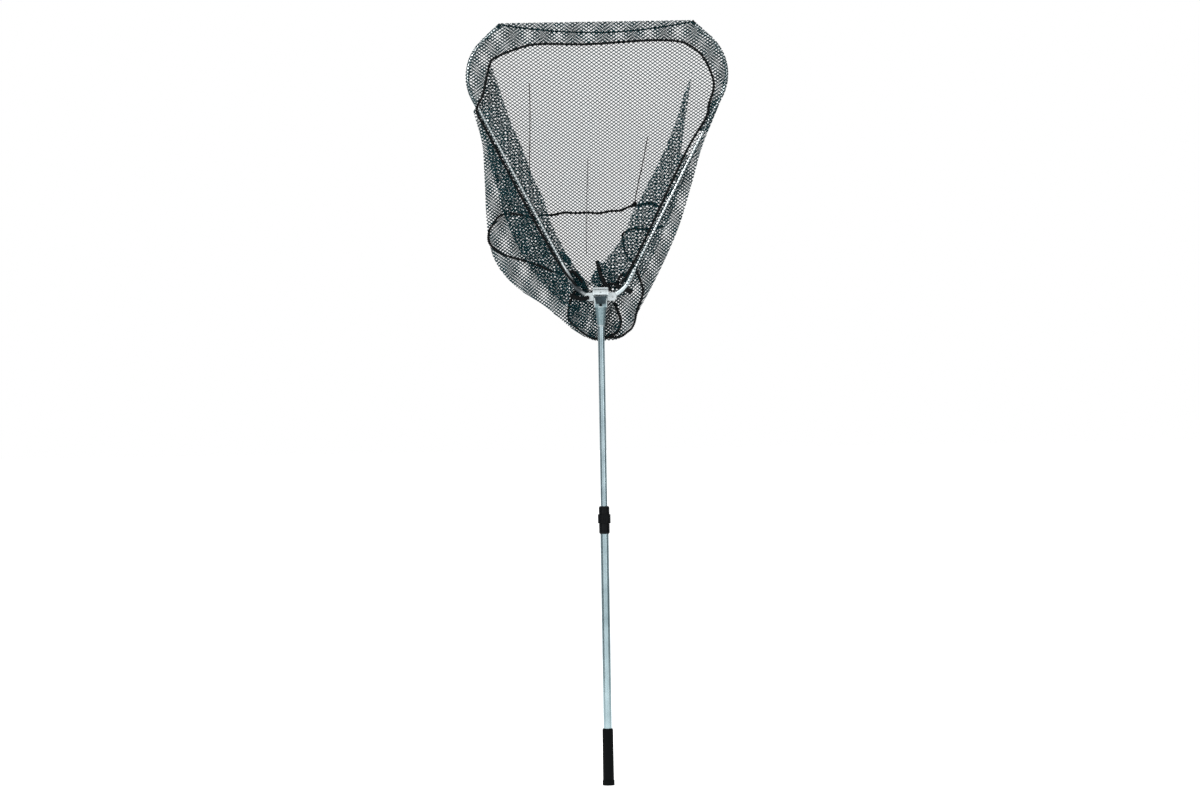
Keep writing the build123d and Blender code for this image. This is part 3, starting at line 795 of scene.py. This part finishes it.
def cord_mesh(name, centre, radius, material, ribs=0.0, rib_pitch=3.5, sides=10):
    """A round cord along a space curve in metres.

    Each ring stands square to the curve. Its radius swells by ribs in a helix of that pitch, as
    lashed or laid cord does, and the ends draw in to a quarter of it.
    """
    centre = resample(centre, rib_pitch * MM / 4)
    along = np.gradient(centre, axis=0)
    along /= np.linalg.norm(along, axis=1)[:, None]
    side = np.cross(along, np.array([0.0, 1.0, 0.0]))
    side /= np.linalg.norm(side, axis=1)[:, None] + 1e-12
    up = np.cross(side, along)
    turn = np.linspace(0, 2 * pi, sides, endpoint=False)
    run = np.concatenate([[0], np.cumsum(np.linalg.norm(np.diff(centre, axis=0), axis=1))])
    phase = 2 * pi * run / (rib_pitch * MM)
    swell = radius + ribs * np.cos(phase[:, None] + turn[None, :])
    swell[[0, -1]] *= END_SHARE
    ring = side[:, None] * np.cos(turn)[None, :, None] + up[:, None] * np.sin(turn)[None, :, None]
    points = (centre[:, None] + ring * swell[:, :, None] * MM).reshape(-1, 3)
    uv = np.stack(np.broadcast_arrays(run[:, None] / (rib_pitch * MM), turn[None, :] / pi), 2)
    k = np.arange(sides)
    first = np.arange(len(centre) - 1)[:, None] * sides
    walls = np.stack([first + k, first + (k + 1) % sides,
                      first + (k + 1) % sides + sides, first + k + sides], 2).reshape(-1, 4)
    caps = np.stack([k[::-1], k + (len(centre) - 1) * sides])
    return make_mesh(name, points, [walls, caps], material, uv.reshape(-1, 2))


def on_bag(route, steps=8):
    """A route over the bag, its points (x, z, share), where share 0 is on the front panel and 1
    on the back panel, as a space curve in metres 3 mm in front of that depth."""
    curve = smooth(route, steps=steps)
    plan = curve[:, :2]
    wave = 1.3 * np.sin(plan[:, 0] / 9 + plan[:, 1] / 7)
    y = front_depth(plan) * (1 - curve[:, 2]) + back_depth(plan) * curve[:, 2] - 3
    return np.stack([plan[:, 0], y, plan[:, 1] + wave], 1) * MM


def upright(plan, depth):
    """A plan curve as a space curve in metres, all at one depth."""
    return np.stack([plan[:, 0], np.full(len(plan), depth), plan[:, 1]], 1) * MM


hem_seam = cord_mesh("hem_seam_cord", upright(HEM_SEAM[HEM_SEAM[:, 1] > 1176], HEM_SEAM_DEPTH),
                     SEAM_R, CORD, SEAM_RIBS, SEAM_PITCH)
waist_seam = cord_mesh("waist_seam_cord", on_bag([
    (-88, 1206, 0.2), (-118, 1215, 0.1), (-150, 1227, 0), (-190, 1243, 0), (-234, 1257, 0),
    (-258, 1278, 0), (-262, 1302, 0), (-250, 1328, 0), (-224, 1350, 0), (-182, 1345, 0.1),
    (-142, 1344, 0.6), (-71, 1353, 1), (-12, 1351, 1), (48, 1357, 1), (84, 1367, 1),
    (122, 1369, 0.8), (146, 1358, 0.4),
]), SEAM_R, CORD, SEAM_RIBS, SEAM_PITCH)
side_seam = cord_mesh("side_seam_cord", on_bag([
    (150, 1312, 0.3), (123, 1310, 0.5), (61, 1306, 0.8), (56, 1276, 0.7), (64, 1246, 0.6),
    (78, 1226, 0.4), (70, 1206, 0.3), (58, 1186, 0.2),
]), 2.5, CORD, 0.5, 4.5)
bottom_seam = cord_mesh("bottom_seam_cord", on_bag([
    (-58, 1166, 0), (-68, 1150, 0), (-75, 1127, 0), (-76, 1100, 0), (-58, 1079, 0),
    (-28, 1057, 0.2), (0, 1052, 0.5), (40, 1056, 0.5), (60, 1064, 0.3), (78, 1086, 0),
    (84, 1112, 0), (94, 1138, 0), (100, 1164, 0), (92, 1194, 0), (84, 1214, 0),
]), SEAM_R, CORD, SEAM_RIBS, SEAM_PITCH)
drop_seam = cord_mesh("drop_seam_cord", on_bag([
    (32, 1136, 0), (38, 1120, 0), (46, 1098, 0), (42, 1074, 0), (22, 1058, 0.2), (0, 1053, 0.5)]),
    3.6, CORD, 0.6, 5.0)
for piece in (hem_seam, waist_seam, side_seam, bottom_seam, drop_seam):
    soft(piece)
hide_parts("hem_seam")
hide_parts("waist_seam")
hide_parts("bottom_seam")

thin_seams = [
    cord_mesh(name, on_bag(route), radius, CORD, 0.2, 3.0) for name, route, radius in (
        ("left_rise_seam", [
            (-160, 1660, 1), (-160, 1600, 1), (-162, 1520, 1), (-165, 1411, 1),
        ], 1.0),
        ("right_rise_seam", [(118, 1530, 1), (108, 1480, 1), (94, 1420, 1), (84, 1372, 1)], 1.1),
        ("middle_rise_seam", [
            (-25, 1479, 1), (-28, 1400, 1), (-31, 1320, 1), (-32, 1254, 1),
        ], 0.7))
]
rise_knot = cord_mesh("rise_seam_knot", on_bag([(80, 1366, 1), (84, 1372, 1), (86, 1378, 1)]),
                      5.0, CORD, 0.8, 4.0)
for piece in (*thin_seams, rise_knot):
    soft(piece)

tip_line = smooth([
    (-222, 1793), (-150, 1782.5), (-75, 1775), (0, 1772), (75, 1774.5), (150, 1782),
    (222, 1793),
])
front_cord = cord_mesh("tip_cord", upright(tip_line, 0.0), 1.9, CORD, 0.25, 3.0)
soft(front_cord)
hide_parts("front_cord")


# ---------------------------------------------------------------- hem sleeves round the rods
def sleeve(name, arm_line, radius):
    """Netting wrapped round a rod: the mesh rolled into a tube of that radius that follows the
    rod's line, a knot at every second crossing of its four lines and its rings."""
    centre = resample(arm_line, CELL_HIGH / 2)
    rings, lines = len(centre), 4
    along = np.gradient(centre, axis=0)
    along /= np.linalg.norm(along, axis=1)[:, None]
    across = np.stack([along[:, 1], np.zeros(rings), -along[:, 0]], 1)
    angle = np.arange(lines) * 2 * pi / lines
    ring = (across[:, None] * np.cos(angle)[None, :, None]
            + np.array([0.0, 1.0, 0.0]) * np.sin(angle)[None, :, None])
    mid = np.stack([centre[:, 0], np.zeros(rings), centre[:, 1]], 1)
    place = (mid[:, None] + radius * ring) * MM
    i, j = np.meshgrid(np.arange(rings - 1), np.arange(lines), indexing="ij")
    even = (i + j) % 2 == 0
    i, j = i[even], j[even]
    bars = np.concatenate([
        np.stack([place[i, j], place[i + 1, (j + s) % lines]], 1) for s in (1, -1)])
    bar_points, bar_faces = bar_mesh(bars, 0.6 * MM)
    knot_points, knot_faces = knot_mesh(place[i, j], KNOT * 0.85)
    return make_mesh(name, np.concatenate([bar_points, knot_points]),
                     [bar_faces, knot_faces + len(bar_points)], TWINE)


# The sleeves run from the hem's foot to just short of the tip caps
SLEEVED = ARM[(ARM[:, 1] > 1230) & ((ARM[:, 1] < 1784) | (ARM[:, 0] > 240))]
for word, line in (("left", SLEEVED * MIRROR), ("right", SLEEVED)):
    piece = sleeve(f"{word}_hem_netting", line, 4.1)
    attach(piece, f"{word}_arm")
    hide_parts(f"{word}_hem_sleeve")
root_netting = sleeve("right_root_netting", between(ARM, 1174, 1246), 6.6)
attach(root_netting, "right_arm")


# ------------------------------------------------------------- bunched net and straps at the yoke
def strap(name, route, radius, ribs=0.5):
    """A black cord or strap along points (x, y, z) in millimetres."""
    piece = cord_mesh(name, smooth(route, steps=10) * MM, radius, CORD, ribs, 4.5)
    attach(piece, "head")
    return piece


strap("yoke_strap", [
    (-7, 16, 1236), (-2, 12, 1214), (5, 8, 1192), (13, 5, 1178), (24, 3, 1165),
], 4.6)
strap("side_strap", [(72, 16, 1208), (49, 14, 1200), (42, 14, 1188), (36, 13, 1172)], 2.6)
strap("yoke_cord", [
    (-33, 11, 1150), (-22, 12, 1162), (3, 12, 1174), (24, 11, 1180), (41, 9, 1179),
], 3.0)
strap("toggle", [(34, 8, 1176), (48, 5, 1172), (62, 2, 1166), (75, 0, 1159)], 5.2, 0.15)
strap("left_bunch_cord", [
    (-74, 9, 1211), (-60, 10, 1207), (-46, 11, 1192), (-36, 12, 1174), (-30, 12, 1160),
], 4.4, 1.2)
strap("left_root_strap", [
    (-72, 0, 1156), (-54, -6, 1148), (-40, -11, 1146), (-27, -12, 1149),
], 5.0, 1.0)

bunches = netting("net_bunches", [
    (area(outline), span(outline), bunch_depth(depth),
     {"turn": turn, "cell": 0.78, "phase": (0.3, 0.5)})
    for outline, depth, turn in (
        (LEFT_BUNCH, 9, 0.5), (LEFT_BUNCH, 14, -0.3), (MIDDLE_BUNCH, 15, 0.2),
        (TUCK, 7, 0.7), (TUCK, 11, 0.1))
])
soft(bunches)
